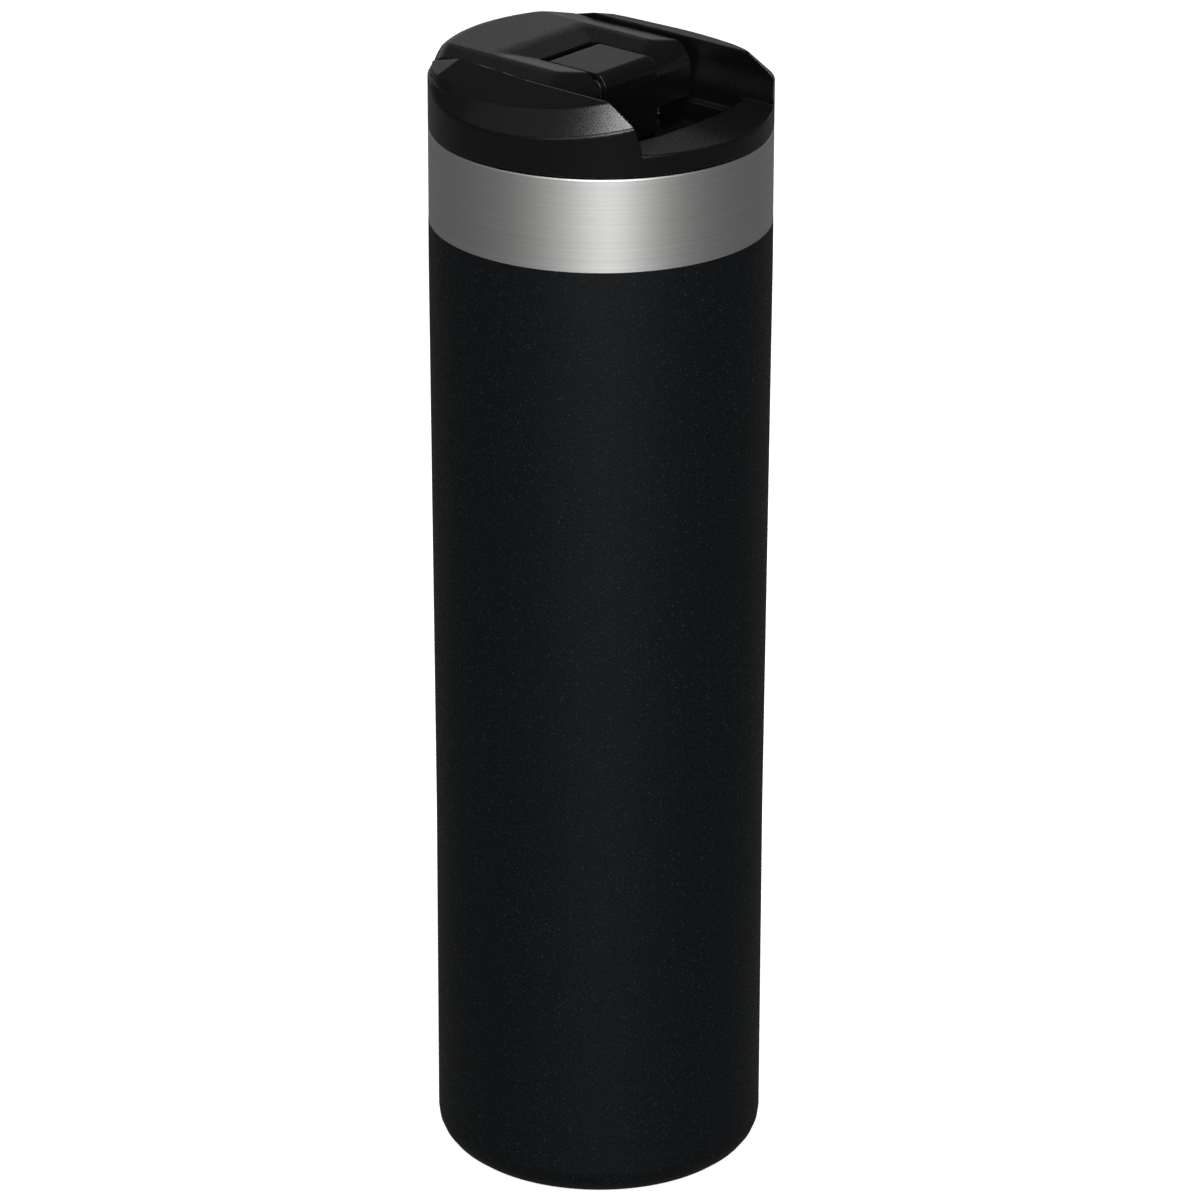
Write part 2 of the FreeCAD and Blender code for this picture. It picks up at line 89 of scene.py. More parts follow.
# The screw thread: two starts, cut in the neck and standing on the plug.
THREAD_LEAD = 8.0
THREAD_START = 219.8
THREAD_TURNS = 1.1
THREAD_FADE = 6.0
NECK_CREST_R = 31.3
PLUG_R = 30.9
PLUG_CREST_R = 32.7

# The plug. Its channel and air hole go on up through the lid's shell.
PLUG_INNER_R = 28.7
PLUG_FLOOR = 219.0
GROOVE_TOP = 235.4
FLANGE_TOP = 236.6
CHANNEL_X = 5.0
CHANNEL_FRONT = -5.6
CHANNEL_BACK = -2.2
CHANNEL_WALL = 1.2
HOLE_Y = 14.0

# The lid's shell.
LID_R = LID_HIGH[0]
CREST = LID_HIGH[2]
SKIRT_LOW = 235.9
DECK = 240.8
WELL_FLOOR = 237.7
WELL_BACK = 0.8
PIT_R = 26.7
PIT_X = 19.6
PIT_FLOOR = 232.8
PIT_WALL = 1.5
SOCKET_R = 34.4
WING_X = 21.2
FACET_TILT = 15.6
STEP = 247.1

# The cover, with a dish that holds the flap. Outside CREST_X its top falls from COVER_TOP by FALL degrees.
# The dish rises by 1 mm for every RISE_X across the mug and RISE_Y towards the back.
COVER_R = 35.6
COVER_X = 20.95
COVER_TOP = 251.2
CREST_X = 14.7
FALL = 10.5
DISH_FLOOR = 250.0
RISE_X = 5.17
RISE_Y = 6.7
REAR_ROUND = 3.2
SLOT_X = 8.6
SLOT_BACK = 9.62
ARM_UNDER = 241.0

# The flap, on its pin.
FLAP_WALL = 1.3
HINGE = ((PIN_LOW + PIN_HIGH) / 2)[1:]
BORE_R = 1.3

# The pieces in each arc of an outline, and the shift in cells that keeps a grid off the shapes' flat faces.
ARC_STEPS = 6
GRID_SHIFT = 0.137


# ---- meshes ----------------------------------------------------------------------------------------------


def make_piece(name, points, faces, normals, material, body, slot, stands_for=()):
    """A smooth-shaded mesh with its own exact normals, riding on a CAD body."""
    mesh = bpy.data.meshes.new(name)
    mesh.from_pydata((np.asarray(points) * MM).tolist(), [], np.asarray(faces).tolist())
    mesh.polygons.foreach_set("use_smooth", [True] * len(mesh.polygons))
    mesh.update()
    mesh.normals_split_custom_set_from_vertices(np.asarray(normals).tolist())
    piece = bpy.data.objects.new(name, mesh)
    bpy.context.scene.collection.objects.link(piece)
    mesh.materials.append(material)
    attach(piece, body)
    if stands_for:
        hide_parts(*stands_for)


def rounded(corners):
    """The points and outward normals along a closed outline of (radius, height, rounding) corners.
    The outline runs so that its material lies on the left; each corner with a rounding becomes an arc."""
    spots = [np.array(corner[:2], float) for corner in corners]
    points, normals = [], []
    for i, corner in enumerate(corners):
        here, before, after = spots[i], spots[i - 1], spots[(i + 1) % len(spots)]
        into = (here - before) / np.linalg.norm(here - before)
        out = (after - here) / np.linalg.norm(after - here)
        bend = math.atan2(into[0] * out[1] - into[1] * out[0], into @ out)
        reach = corner[2] * math.tan(abs(bend) / 2)
        steps = ARC_STEPS if corner[2] > 0 else 1
        centre = here - into * reach + np.array([-into[1], into[0]]) * math.copysign(corner[2], bend)
        for step in range(steps + 1):
            angle = bend * step / steps
            way = np.array([into[0] * math.cos(angle) - into[1] * math.sin(angle),
                            into[0] * math.sin(angle) + into[1] * math.cos(angle)])
            normal = np.array([way[1], -way[0]])
            points.append(centre + normal * math.copysign(corner[2], bend) if corner[2] > 0 else here)
            normals.append(normal)
    return np.array(points), np.array(normals)


def lathe(corners, around=224):
    """A closed ring-shaped mesh: the outline turned about Z."""
    points, normals = rounded(corners)
    angles = np.arange(around) * TURN / around
    ring = np.stack([np.cos(angles), np.sin(angles)], 1)
    count = len(points)
    heights = np.broadcast_to(points[:, None, 1:], (count, around, 1))
    rises = np.broadcast_to(normals[:, None, 1:], (count, around, 1))
    place = np.concatenate([points[:, None, :1] * ring, heights], 2)
    facing = np.concatenate([normals[:, None, :1] * ring, rises], 2)
    faces = []
    for i in range(count):
        j = (i + 1) % count
        if np.allclose(points[i], points[j]):
            continue
        for k in range(around):
            m = (k + 1) % around
            faces.append((i * around + k, i * around + m, j * around + m, j * around + k))
    return place.reshape(-1, 3), faces, facing.reshape(-1, 3)


def slopes(field, points, step=0.02):
    """The field's gradient at each point."""
    x, y, z = points.T
    return np.stack([
        field(x + step, y, z) - field(x - step, y, z),
        field(x, y + step, z) - field(x, y - step, z),
        field(x, y, z + step) - field(x, y, z - step),
    ], 1) / (2 * step)


def net(field, low, high, cell):
    """A closed quad mesh of the surface where a distance field is zero (naive surface nets), with every point
    then slid onto that surface along the field's gradient."""
    axes = [a + cell * (np.arange(int((b - a) / cell) + 2) + GRID_SHIFT) for a, b in zip(low, high)]
    value = field(*np.meshgrid(*axes, indexing="ij"))
    corners = np.array([(i, j, k) for i in (0, 1) for j in (0, 1) for k in (0, 1)])
    shape = np.array(value.shape) - 1
    at = [value[i:i + shape[0], j:j + shape[1], k:k + shape[2]] for i, j, k in corners]
    inside = sum((v < 0).astype(np.int8) for v in at)
    live = (inside > 0) & (inside < 8)
    index = -np.ones(shape, np.int64)
    index[live] = np.arange(live.sum())
    ends = np.stack([v[live] for v in at], 1)
    total, hits = np.zeros((len(ends), 3)), np.zeros(len(ends))
    for a in range(8):
        for b in range(a + 1, 8):
            if np.abs(corners[a] - corners[b]).sum() != 1:
                continue
            cross = (ends[:, a] < 0) != (ends[:, b] < 0)
            share = np.where(cross, ends[:, a] / np.where(cross, ends[:, a] - ends[:, b], 1), 0)
            spot = corners[a] + share[:, None] * (corners[b] - corners[a])
            total += np.where(cross[:, None], spot, 0)
            hits += cross
    cells = np.argwhere(live)
    start = np.array([axis[0] for axis in axes])
    points = start + (cells + total / hits[:, None]) * cell
    faces = []
    for axis in range(3):
        step = np.eye(3, dtype=int)[axis]
        sides = [np.eye(3, dtype=int)[(axis + 1) % 3], np.eye(3, dtype=int)[(axis + 2) % 3]]
        first = value[: value.shape[0] - step[0], : value.shape[1] - step[1], : value.shape[2] - step[2]] < 0
        second = value[step[0]:, step[1]:, step[2]:] < 0
        for spots, forward in ((np.argwhere(first & ~second), True), (np.argwhere(~first & second), False)):
            fits = (spots >= sides[0] + sides[1]).all(1) & (spots < shape).all(1)
            spots = spots[fits]
            quad = [spots - sides[0] - sides[1], spots - sides[1], spots, spots - sides[0]]
            ids = np.stack([index[tuple(q.T)] for q in quad], 1)
            faces.append(ids if forward else ids[:, ::-1])
    for _ in range(4):
        slope = slopes(field, points)
        size = np.maximum((slope ** 2).sum(1), 0.2)
        move = slope * (field(*points.T) / size)[:, None]
        length = np.linalg.norm(move, axis=1, keepdims=True)
        points = points - move * np.minimum(1, 0.5 * cell / np.maximum(length, 1e-9))
    slope = slopes(field, points)
    return points, np.concatenate(faces), slope / np.linalg.norm(slope, axis=1, keepdims=True)


# ---- distance fields, in millimetres -----------------------------------------------------------------------


def both(first, second, radius=0.0):
    """What is inside both fields, with the edge between them rounded."""
    if radius <= 0:
        return np.maximum(first, second)
    reach = np.hypot(np.maximum(radius + first, 0), np.maximum(radius + second, 0))
    return np.minimum(np.maximum(first, second), -radius) + reach


def either(first, second, radius=0.0):
    """What is inside either field, with a fillet of this radius in the corner between them."""
    return -both(-first, -second, radius)


def less(first, second, radius=0.0):
    """The first field with the second cut out of it."""
    return both(first, -second, radius)


def between(value, low, high):
    return np.maximum(low - value, value - high)


def tilted(rise, run, degrees):
    """A plane that falls by this angle along run from where rise is zero."""
    return rise * math.cos(math.radians(degrees)) + run * math.sin(math.radians(degrees))


def smooth_step(value, low, high):
    share = np.clip((value - low) / (high - low), 0, 1)
    return share * share * (3 - 2 * share)


def channel_field(x, y, grow):
    """The drink channel, or with grow the outside of its wall."""
    across = np.abs(x) - CHANNEL_X - grow
    along = between(y, CHANNEL_FRONT - grow, CHANNEL_BACK + grow)
    return both(across, along, 0.5 + 0.5 * grow)


def wing_wall(y, z):
    """How far out a wing's inner wall stands: upright at the back, leaning outward towards the front."""
    return WING_X + 0.1 + 1.1 * smooth_step(-y, -18.0, 4.0) * smooth_step(z, DECK, 247.0)


def front_shape(r, side, y, z):
    """The lid's outside up to the bevel, whose foot sinks and whose slope steepens towards the back."""
    wall = r - LID_R
    foot = 246.5 - 0.22 * (side * LID_R / np.maximum(r, 1.0) - WING_X - 1.4)
    slope = 0.95 + 0.25 * smooth_step(y, -10.0, 12.0)
    bevel = (z - foot + slope * wall) / np.hypot(1.0, slope)
    return both(wall, bevel, 0.35)


def back_shape(r, z):
    """The lid's rear shoulder: the wall up to a small step, and a large round above it."""
    wall = both(r - LID_R, z - STEP, 0.6)
    shoulder = both(r - COVER_R, z - CREST - 0.1, REAR_ROUND)
    return either(wall, shoulder, 0.2)


def lid_shell_field(x, y, z):
    r = np.hypot(x, y)
    side = np.abs(x)
    wall = r - LID_R
    toward_back = smooth_step(y / np.maximum(r, 1.0), 0.30, 0.74)
    outside = front_shape(r, side, y, z) * (1 - toward_back) + back_shape(r, z) * toward_back
    facet = tilted(z - CREST + 0.25 * np.maximum(y - 20.5, 0), side - WING_X, FACET_TILT)
    wings = both(both(outside, facet, 0.2), wing_wall(y, z) - side, 0.4)
    well = both(both(side - WING_X - 0.1, 0.006 * x * x - 24.2 - y, 1.5), y - WELL_BACK, 0.6)
    shelf = z - DECK + 0.05 * np.maximum(-y - 24.0, 0)
    deck = less(both(wall, shelf, 0.4), both(well, WELL_FLOOR - z, 0.4), 0.3)
    rear_wall = both(both(both(wall, z - STEP + 0.2, 0.6), -y), SOCKET_R - 0.2 - r, 0.3)
    rear_wall = both(rear_wall, side - WING_X - 1.0)
    solid = np.minimum(np.minimum(wings, deck), rear_wall)
    solid = both(solid, SKIRT_LOW - z, 0.35)
    solid = less(solid, both(r - SOCKET_R, z - SKIRT_LOW - 0.8), 0.25)
    hollow = both(both(r - SOCKET_R, z - DECK - 1.7, 0.8), WING_X + 2.2 - side, 0.5)
    solid = less(solid, hollow, 0.25)
    outer_pit = both(r - PIT_R - PIT_WALL, y - WELL_BACK - PIT_WALL, 1.5)
    outer_pit = both(outer_pit, side - PIT_X - PIT_WALL, 1.5)
    solid = np.minimum(solid, both(outer_pit, between(z, PIT_FLOOR - PIT_WALL, WELL_FLOOR), 0.3))
    pit = both(both(r - PIT_R, between(y, -24.0, WELL_BACK), 1.2), side - PIT_X, 1.2)
    solid = less(solid, both(pit, PIT_FLOOR - z, 0.8), 0.3)
    solid = less(solid, both(channel_field(x, y, 0.0), z - 236.0), 0.2)
    return less(solid, np.hypot(x, y - HOLE_Y) - 1.2, 0.2)


def cover_roof(x, y, z):
    """The cover's top: a crest line with slopes falling outward to the wings and inward to the flap."""
    side = np.abs(x)
    outer = tilted(z - COVER_TOP, np.maximum(side - CREST_X, 0.0), FALL)
    across = np.maximum(side - SLOT_X + 0.1, 0) / RISE_X
    along = np.maximum(y - SLOT_BACK - 0.13, 0) / RISE_Y
    dish = z - DISH_FLOOR - (across ** 6 + along ** 6) ** (1 / 6)
    return both(outer, dish * 0.98, 0.25)


def top_cover_field(x, y, z):
    r = np.hypot(x, y)
    side = np.abs(x)
    roof = cover_roof(x, y, z)
    face = both(-(y + 7.1), -(y + 7.2 + (246.5 - z) * 0.28) * 0.963, 0.5)
    skin = both(roof, both(z - COVER_TOP, face, 6.0), 0.4)
    shoulder = both(r - COVER_R, skin, REAR_ROUND)
    foot = both(r - 33.9, z - 248.0)
    body = np.minimum(both(shoulder, STEP + 0.15 - z, 0.3), foot)
    body = both(body, skin)
    body = both(body, side - COVER_X, 0.3)
    floor = ARM_UNDER - 2.7 * smooth_step(-y, -1.2, 0.0)
    body = both(body, floor - z, 0.4)
    slot = both(side - SLOT_X, y - SLOT_BACK, 0.3)
    body = less(body, slot, 0.12)
    cave = both(both(r - 31.7, 11.95 - y, 1.0), both(side - 18.8, z - 246.8, 1.0), 1.0)
    return less(body, cave, 0.3)


def flap_cover_field(x, y, z):
    top = FLAP_HIGH[2]
    front = FLAP_LOW[1]
    back = FLAP_HIGH[1]
    outer = both(both(z - top, front - y, 3.0), y - back, 2.0)
    inner = both(both(z - top + FLAP_WALL, front + FLAP_WALL - y, 1.7), y - back + FLAP_WALL, 0.7)
    skin = less(outer, inner)
    skin = less(skin, both(z - 247.6, 2.0 - y))
    skin = both(skin, FLAP_LOW[2] - z, 0.2)
    skin = both(skin, np.abs(x) - FLAP_HIGH[0], 0.2)
    dimple = np.sqrt(x ** 2 + (y - front + 0.25) ** 2 + (z - 246.0) ** 2) - 0.42
    return less(skin, dimple, 0.15)


def flap_carrier_field(x, y, z):
    low, high = LEG_LOW, LEG_HIGH
    box = both(both(z - high[2], low[1] - y, 1.7), y - high[1], 0.6)
    under_rear = tilted(243.6 - z, (y - 5.6), 50.0)
    belly = either(243.9 - z, y + 1.0 + (z - 244.5) * 0.05, 1.2)
    body = both(both(box, belly), both(under_rear, low[2] - z, 0.3), 0.4)
    body = both(body, np.abs(x) - high[0], 0.3)
    bore = np.hypot(y - HINGE[0], z - HINGE[1]) - BORE_R
    return less(body, bore, 0.15)


def flap_seal_field(x, y, z):
    low, high = SEAL_LOW, SEAL_HIGH
    pad = both(both(between(x, low[0], high[0]), between(y, low[1], high[1]), 1.6), z - high[2])
    return both(pad, low[2] - z, 0.6)


def thread_field(r, angle, z, wall, crest, phase):
    """Two helical ridges of trapezoidal section, tapering out at their ends."""
    best = np.full(np.shape(z), 1e3)
    for start in range(2):
        base = THREAD_START + phase + start * THREAD_LEAD / 2
        for lap in range(-1, math.ceil(THREAD_TURNS) + 1):
            sweep = angle / TURN + lap
            lift = z - base - THREAD_LEAD * sweep
            inside_turns = np.minimum(sweep, THREAD_TURNS - sweep) * TURN * wall
            height = np.clip(inside_turns / THREAD_FADE, -1, 1) * abs(crest - wall)
            out = (r - wall) * math.copysign(1, crest - wall)
            half = 0.8 - 0.22 * np.clip(out, -1, 3)
            ridge = both(np.abs(lift) - half, out - height, 0.25)
            best = np.minimum(best, ridge)
    return best * 0.9


def plug_field(x, y, z):
    r = np.hypot(x, y)
    angle = np.mod(np.arctan2(y, x), TURN)
    cup = both(both(r - PLUG_R, z - FLANGE_TOP), PLUG_LOW[2] - z, 0.8)
    ridges = thread_field(r, angle, z, PLUG_R, PLUG_CREST_R, 0.0)
    cup = either(cup, both(ridges, 30.0 - r), 0.25)
    groove = both(between(z, 233.0, GROOVE_TOP), 30.3 - r, 0.15)
    cup = less(cup, groove, 0.1)
    collar = both(r - 32.8, between(z, GROOVE_TOP, FLANGE_TOP), 0.15)
    flange = both(r - 34.2, between(z, SKIRT_LOW + 0.05, FLANGE_TOP), 0.2)
    cup = np.minimum(cup, np.minimum(collar, flange))
    cup = less(cup, both(r - PLUG_INNER_R, PLUG_FLOOR - z, 1.0), 0.25)
    chimney = both(channel_field(x, y, CHANNEL_WALL), between(z, PLUG_FLOOR - 1.2, 230.4), 0.2)
    cup = np.minimum(cup, chimney)
    cup = less(cup, channel_field(x, y, 0.0), 0.35)
    return less(cup, np.hypot(x, y - HOLE_Y) - 1.6, 0.2)


# ---- materials ---------------------------------------------------------------------------------------------

# The moulded plastic's broad, faint mottling, in cycles for each metre.
MOTTLE = 60.0


def new_material(name):
    material = bpy.data.materials.new(name)
    material.use_nodes = True
    tree = material.node_tree
    shader = tree.nodes["Principled BSDF"]
    return material, tree, shader


def add(tree, kind, **values):
    """A node with its properties and input defaults set."""
    node = tree.nodes.new(kind)
    for name, value in values.items():
        if hasattr(node, name):
            setattr(node, name, value)
        else:
            node.inputs[name.replace("_", " ")].default_value = value
    return node


def surface_point(tree, scale):
    """Object coordinates, stretched by a scale for each axis."""
    place = add(tree, "ShaderNodeTexCoord")
    mapping = add(tree, "ShaderNodeMapping")
    mapping.inputs["Scale"].default_value = scale
    tree.links.new(place.outputs["Object"], mapping.inputs["Vector"])
    return mapping.outputs["Vector"]


def noise(tree, scale, detail=2.0, rough=0.5):
    texture = add(tree, "ShaderNodeTexNoise", Detail=detail, Roughness=rough)
    texture.inputs["Scale"].default_value = 1.0
    tree.links.new(surface_point(tree, scale), texture.inputs["Vector"])
    return texture.outputs["Fac"]


def ramp(tree, source, low, high, start=0.3, end=0.7):
    """The source's range start to end turned into low to high."""
    node = add(tree, "ShaderNodeMapRange", clamp=True)
    for name, value in (("From Min", start), ("From Max", end), ("To Min", low), ("To Max", high)):
        node.inputs[name].default_value = value
    tree.links.new(source, node.inputs["Value"])
    return node.outputs["Result"]


def tint(tree, shader, source, first, second):
    """The base colour, mixed between two colours by a factor."""
    mix = add(tree, "ShaderNodeMix", data_type="RGBA")
    colours = [socket for socket in mix.inputs if socket.type == "RGBA"]
    colours[0].default_value = (*first, 1)
    colours[1].default_value = (*second, 1)
    tree.links.new(source, mix.inputs["Factor"])
    output = next(socket for socket in mix.outputs if socket.type == "RGBA")
    tree.links.new(output, shader.inputs["Base Color"])


def bump(tree, shader, source, strength, distance):
    node = add(tree, "ShaderNodeBump", Strength=strength, Distance=distance)
    tree.links.new(source, node.inputs["Height"])
    tree.links.new(node.outputs["Normal"], shader.inputs["Normal"])


def grained(name, dark, light, rough, grain, depth, specular=0.5):
    """A moulded or coated black surface: a fine grain, faint mottling and a slightly uneven gloss."""
    material, tree, shader = new_material(name)
    shader.inputs["Specular IOR Level"].default_value = specular
    fine = noise(tree, (grain, grain, grain), 3.0, 0.6)
    broad = noise(tree, (MOTTLE, MOTTLE, MOTTLE), 3.0)
    tint(tree, shader, ramp(tree, broad, 0, 1), dark, light)
    tree.links.new(ramp(tree, fine, rough[0], rough[1]), shader.inputs["Roughness"])
    bump(tree, shader, fine, 1.0, depth)
    return material


def flecked(name, dark, painted_glint, rough, grain, depth, specular, spacing):
    """A powder coat: nearly black, with a fine orange-peel grain and small pale flecks. The flecks' pale
    colour is a painted glint that stands in for the coat's sparkle.
    """
    material, tree, shader = new_material(name)
    shader.inputs["Specular IOR Level"].default_value = specular
    fine = noise(tree, (grain, grain, grain), 3.0, 0.6)
    scatter = noise(tree, (spacing, spacing, spacing), 1.0)
    # Pale flecks in the base colour: painted glints, standing in for the sparkle of the coat's flecks.
    tint(tree, shader, ramp(tree, scatter, 0, 1, 0.62, 0.75), dark, painted_glint)
    tree.links.new(ramp(tree, scatter, rough[1], rough[0], 0.60, 0.70), shader.inputs["Roughness"])
    bump(tree, shader, fine, 1.0, depth)
    return material


def brushed(name, colour, rough, lines, across, depth, anisotropy):
    """Steel brushed around the mug's axis: fine level scratches, in steps of tone from stroke to stroke."""
    material, tree, shader = new_material(name)
    shader.inputs["Metallic"].default_value = 1.0
    shader.inputs["Anisotropic"].default_value = anisotropy
    strokes = noise(tree, (across, across, lines), 4.0, 0.65)
    bands = noise(tree, (across * 0.3, across * 0.3, lines * 0.16), 2.0)
    paler = tuple(min(1.0, part * 1.06) for part in colour)
    darker = tuple(part * 0.95 for part in colour)
    tint(tree, shader, ramp(tree, bands, 0, 1), darker, paler)
    tree.links.new(ramp(tree, strokes, rough[0], rough[1]), shader.inputs["Roughness"])
    bump(tree, shader, strokes, 1.0, depth)
    shader.inputs["Anisotropic Rotation"].default_value = 0.25
    tangent = add(tree, "ShaderNodeTangent", direction_type="RADIAL", axis="Z")
    tree.links.new(tangent.outputs["Tangent"], shader.inputs["Tangent"])
    return material


def plain(name, dark, light, rough, grain, metallic=0.0, depth=0.00001):
    material, tree, shader = new_material(name)
    shader.inputs["Metallic"].default_value = metallic
    fine = noise(tree, (grain, grain, grain), 3.0)
    tint(tree, shader, ramp(tree, fine, 0, 1), dark, light)
    tree.links.new(ramp(tree, fine, rough[0], rough[1]), shader.inputs["Roughness"])
    bump(tree, shader, fine, 0.6, depth)
    return material


# Grain, spacing, lines and across are noise scales, in cycles for each metre; depth is in metres.
# The pale fleck colour is a painted glint.
coat = flecked("powder_coat", dark=(0.0022, 0.0034, 0.0044), painted_glint=(0.028, 0.032, 0.036), rough=(0.24, 0.52),
               grain=2600.0, depth=0.00008, specular=0.28, spacing=2300.0)
lid_black = grained("lid_plastic", (0.0034, 0.0034, 0.0036), (0.0042, 0.0042, 0.0044), rough=(0.24, 0.32),
                    grain=4200.0, depth=0.00002, specular=0.42)
plug_black = grained("plug_plastic", (0.010, 0.010, 0.011), (0.013, 0.013, 0.014), rough=(0.30, 0.38),
                     grain=1500.0, depth=0.00001)
silicone = grained("silicone", (0.020, 0.020, 0.022), (0.026, 0.026, 0.028), rough=(0.55, 0.68),
                   grain=1800.0, depth=0.00001, specular=0.35)
band_steel = brushed("brushed_steel", (0.78, 0.775, 0.765), rough=(0.48, 0.60), lines=16000.0, across=30.0,
                     depth=0.000004, anisotropy=0.5)
inner_steel = brushed("inner_steel", (0.60, 0.60, 0.60), rough=(0.20, 0.30), lines=5000.0, across=60.0,
                      depth=0.000006, anisotropy=0.3)
pin_steel = plain("pin_steel", (0.50, 0.50, 0.50), (0.58, 0.58, 0.58), rough=(0.25, 0.35), grain=3000.0,
                  metallic=1.0)
glass_bead = plain("seal_glass", (0.03, 0.03, 0.035), (0.05, 0.05, 0.055), rough=(0.08, 0.16), grain=1200.0)
getter_grey = plain("getter_metal", (0.10, 0.10, 0.10), (0.20, 0.20, 0.20), rough=(0.6, 0.8), grain=4000.0,
                    metallic=1.0, depth=0.00005)
copper = plain("copper_foil", (0.72, 0.38, 0.24), (0.80, 0.46, 0.30), rough=(0.18, 0.34), grain=180.0,
               metallic=1.0, depth=0.0003)
foam = plain("foam", (0.62, 0.62, 0.60), (0.78, 0.78, 0.76), rough=(0.8, 0.95), grain=1600.0, depth=0.00015)


# ---- bottle ------------------------------------------------------------------------------------------------


def make_bottle():
    under = BODY_R - COAT
    grip = GRIP_R - COAT
    coat_mesh = lathe([
        (FOOT_R, 0, 0.1), (GRIP_R, 0, FOOT_ROUND), (GRIP_R, GRIP_TOP, TAPER_ROUND),
        (BODY_R, TAPER_TOP, TAPER_ROUND), (BODY_R, PAINT_TOP, 0.12), (under, PAINT_TOP, 0.02),
        (under, TAPER_TOP, 0), (grip, GRIP_TOP, 0), (grip, COAT, FOOT_ROUND - COAT), (FOOT_R, COAT, 0.05),
    ])
    make_piece("body_coat", *coat_mesh, coat, "bottle", "powder_coat", ["powder_coat"])
    shell = lathe([
        (FOOT_R, COAT, 0), (grip, COAT, FOOT_ROUND - COAT), (grip, GRIP_TOP, 0), (under, TAPER_TOP, 0),
        (under, PAINT_TOP, 0), (BAND_R, PAINT_TOP, 0.02), (BAND_R, MOUTH, 0.38), (BAND_R - STEEL, MOUTH, 0),
        (BAND_R - STEEL, PAINT_TOP - 0.8, 0), (under - STEEL, PAINT_TOP - 1.2, 0),
        (under - STEEL, TAPER_TOP, 0), (grip - STEEL, GRIP_TOP, 0),
        (grip - STEEL, COAT + STEEL, FOOT_ROUND - COAT - STEEL), (FOOT_R, COAT + STEEL, 0),
    ])
    make_piece("outer_wall", *shell, band_steel, "bottle", "outer_steel", ["outer_shell"])
    wall = CAVITY_R + STEEL
    floor = INNER_UNDER + STEEL
    inner = lathe([
        (0.01, INNER_UNDER, 0), (wall, INNER_UNDER, 8.4), (wall, CAVITY_TOP, 3.0),
        (NECK_R + STEEL, NECK_LOW, 3.0), (NECK_R + STEEL, MOUTH - STEEL, 0.3),
        (BAND_R - STEEL, MOUTH - STEEL, 0), (BAND_R - STEEL, MOUTH, 0), (NECK_R, MOUTH, 0.38),
        (NECK_R, NECK_LOW, 3.4), (CAVITY_R, CAVITY_TOP, 3.4), (CAVITY_R, floor, 8.0), (0.01, floor, 0),
    ], around=160)
    make_piece("inner_wall", *inner, inner_steel, "bottle", "inner_steel", ["inner_vessel"])

    def neck_ridges(x, y, z):
        r = np.hypot(x, y)
        angle = np.mod(np.arctan2(y, x), TURN)
        ridges = thread_field(r, angle, z, NECK_R + 0.02, NECK_CREST_R, -2.0)
        return both(both(ridges, r - NECK_R - 0.15, 0.05), NECK_CREST_R - 0.05 - r)

    ridge_box = ((-34, -34, 214), (34, 34, 233))
    make_piece("neck_thread", *net(neck_ridges, *ridge_box, cell=0.5), inner_steel, "bottle", "inner_steel")
    top = DISC_UNDER + STEEL
    cup = lathe([
        (2.0, DISC_UNDER, 0.1), (FOOT_R - STEEL, DISC_UNDER, 0.9), (FOOT_R - STEEL, COAT, 0.08),
        (FOOT_R, COAT, 0.08), (FOOT_R, top, 1.2), (2.0, top, 0.1),
    ], around=128)
    make_piece("base_disc", *cup, inner_steel, "bottle", "inner_steel", ["base_cup"])


# ---- lid ---------------------------------------------------------------------------------------------------


def padded_box(low, high, by=1.0):
    return low - by, high + by


def make_lid():
    shell = net(lid_shell_field, *padded_box(LID_LOW, LID_HIGH), cell=0.42)
    make_piece("lid_body", *shell, lid_black, "lid", "lid_plastic", ["lid_shell"])
    cover = net(top_cover_field, *padded_box(COVER_LOW, COVER_HIGH), cell=0.34)
    make_piece("lid_cover", *cover, lid_black, "lid", "lid_plastic", ["top_cover"])
    plug = net(plug_field, *padded_box(PLUG_LOW, PLUG_HIGH), cell=0.5)
    make_piece("lid_base", *plug, plug_black, "lid", "plug_plastic", ["lid_plug"])
    rim = RING_HIGH[0]
    low = RING_LOW[2]
    high = RING_HIGH[2]
    ring = lathe([
        (rim - 2.2, low, 0.3), (rim, low, 0.25), (rim, low + 0.6, 0.25), (rim - 0.6, (low + high) / 2, 0.2),
        (rim, high - 0.6, 0.25), (rim, high, 0.25), (rim - 2.2, high, 0.3),
    ])
    make_piece("seal_ring", *ring, silicone, "seal_ring", "silicone", ["lid_gasket"])


def make_flap():
    skin = net(flap_cover_field, *padded_box(FLAP_LOW, FLAP_HIGH), cell=0.22)
    make_piece("flap_skin", *skin, lid_black, "flap", "lid_plastic", ["flap_cover"])
    leg = net(flap_carrier_field, *padded_box(LEG_LOW, LEG_HIGH), cell=0.3)
    make_piece("flap_leg", *leg, plug_black, "flap", "plug_plastic", ["flap_carrier"])
    pad = net(flap_seal_field, *padded_box(SEAL_LOW, SEAL_HIGH), cell=0.25)
    make_piece("flap_pad", *pad, silicone, "flap", "silicone", ["flap_seal"])


def finish_cad_nodes():
    """Better materials for the small inner nodes whose CAD shape stays."""
    looks = {
        "vacuum_seal_bead": glass_bead, "getter": getter_grey, "reflector_foil": copper,
        "lid_insulation": foam, "vent_valve": silicone, "channel_seal": silicone,
        "lid_screws": pin_steel, "hinge_pin": pin_steel, "detent_spring": pin_steel,
    }
    for name, material in looks.items():
        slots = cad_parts[name].material_slots
        if not slots:
            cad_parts[name].data.materials.append(material)
        for slot in slots:
            slot.material = material


# ---- stage -------------------------------------------------------------------------------------------------


# The camera, fitted to the mug's outline in the photo: its lens and sensor in millimetres, its angles in
# degrees, and its distance and height in metres.
LENS = 198.43
SENSOR = 36.0
CAMERA_BEARING, CAMERA_PITCH, CAMERA_ROLL = -49.5, 22.32, 0.13
CAMERA_REACH, CAMERA_HEIGHT = 1.32477, 0.67141

